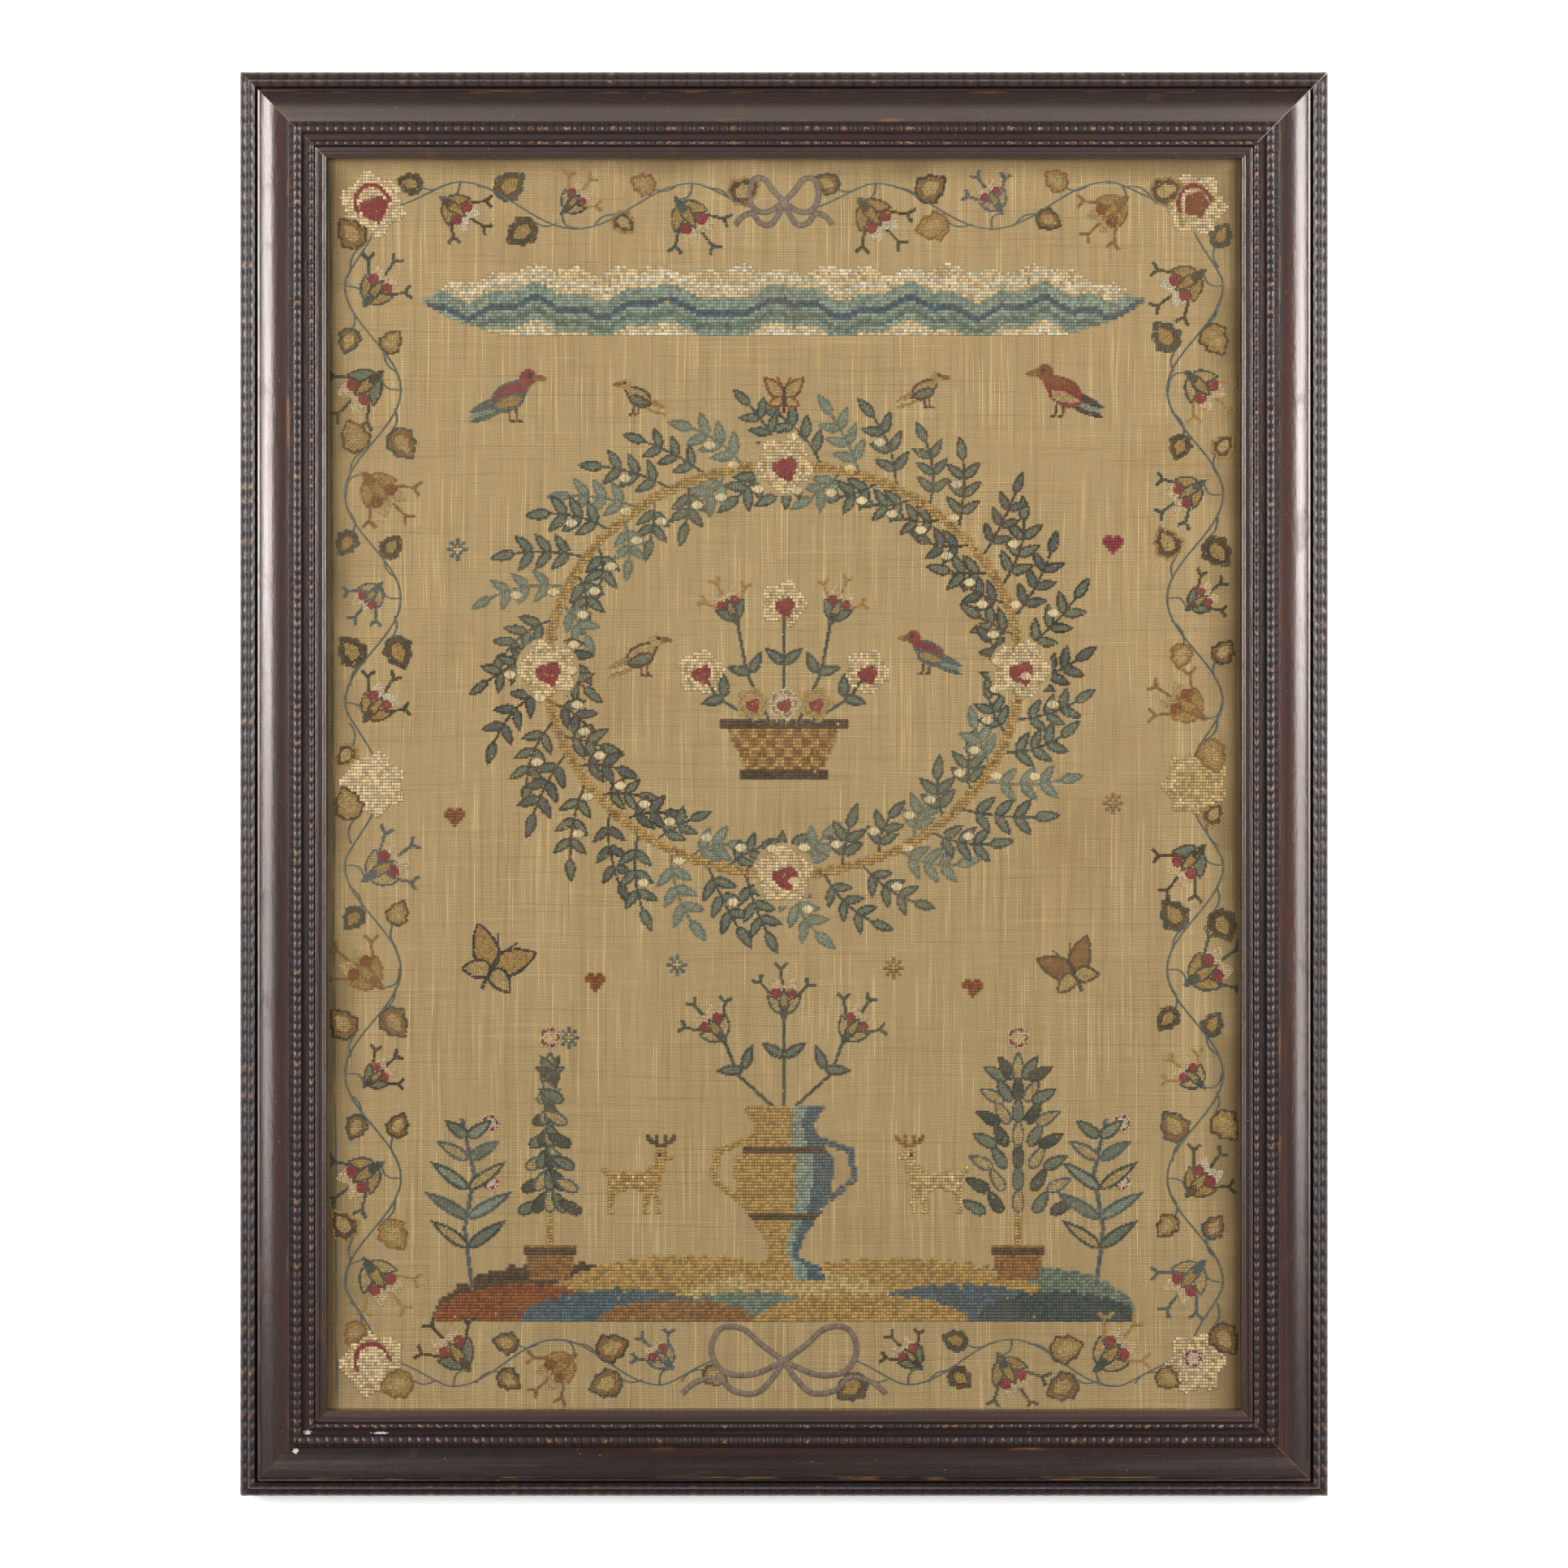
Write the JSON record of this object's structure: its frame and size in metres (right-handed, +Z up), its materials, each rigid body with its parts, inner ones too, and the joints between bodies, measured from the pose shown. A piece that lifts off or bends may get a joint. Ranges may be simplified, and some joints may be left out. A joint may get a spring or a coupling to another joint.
{
  "type": "needlework sampler in a ripple-moulded wooden frame",
  "caption": "Stitched linen sampler held flat in a dark mitred wooden frame with a hollow and rippled mouldings, backed by a plain board.",
  "frame": {"origin": "middle of the frame's back, on the surface it lies on", "axes": "+X to the picture's right, +Y towards the picture's top, +Z up out of the stitched face"},
  "size_m": [0.446, 0.584, 0.0208],
  "materials": {
    "dark_wood": "dark red-brown stain, waxed, satin with a soft gloss",
    "ripple_wood": "near-black stain worn to bare wood on the crests",
    "slip_wood": "dark stain, rubbed, satin",
    "linen": "aged plain-weave linen, matt",
    "thread": "silk embroidery thread, soft sheen",
    "board_wood": "bare aged board, matt"
  },
  "bodies": {
    "root": {"rail_left": "dark_wood", "outer_ripple_left": "ripple_wood", "broad_ripple_left": "ripple_wood", "fine_ripple_left": "ripple_wood", "sight_slip_left": "slip_wood", "rail_bottom": "dark_wood", "outer_ripple_bottom": "ripple_wood", "broad_ripple_bottom": "ripple_wood", "fine_ripple_bottom": "ripple_wood", "sight_slip_bottom": "slip_wood", "rail_right": "dark_wood", "outer_ripple_right": "ripple_wood", "broad_ripple_right": "ripple_wood", "fine_ripple_right": "ripple_wood", "sight_slip_right": "slip_wood", "rail_top": "dark_wood", "outer_ripple_top": "ripple_wood", "broad_ripple_top": "ripple_wood", "fine_ripple_top": "ripple_wood", "sight_slip_top": "slip_wood", "linen_ground": "linen", "backboard": "board_wood"}
  },
  "joints": []
}
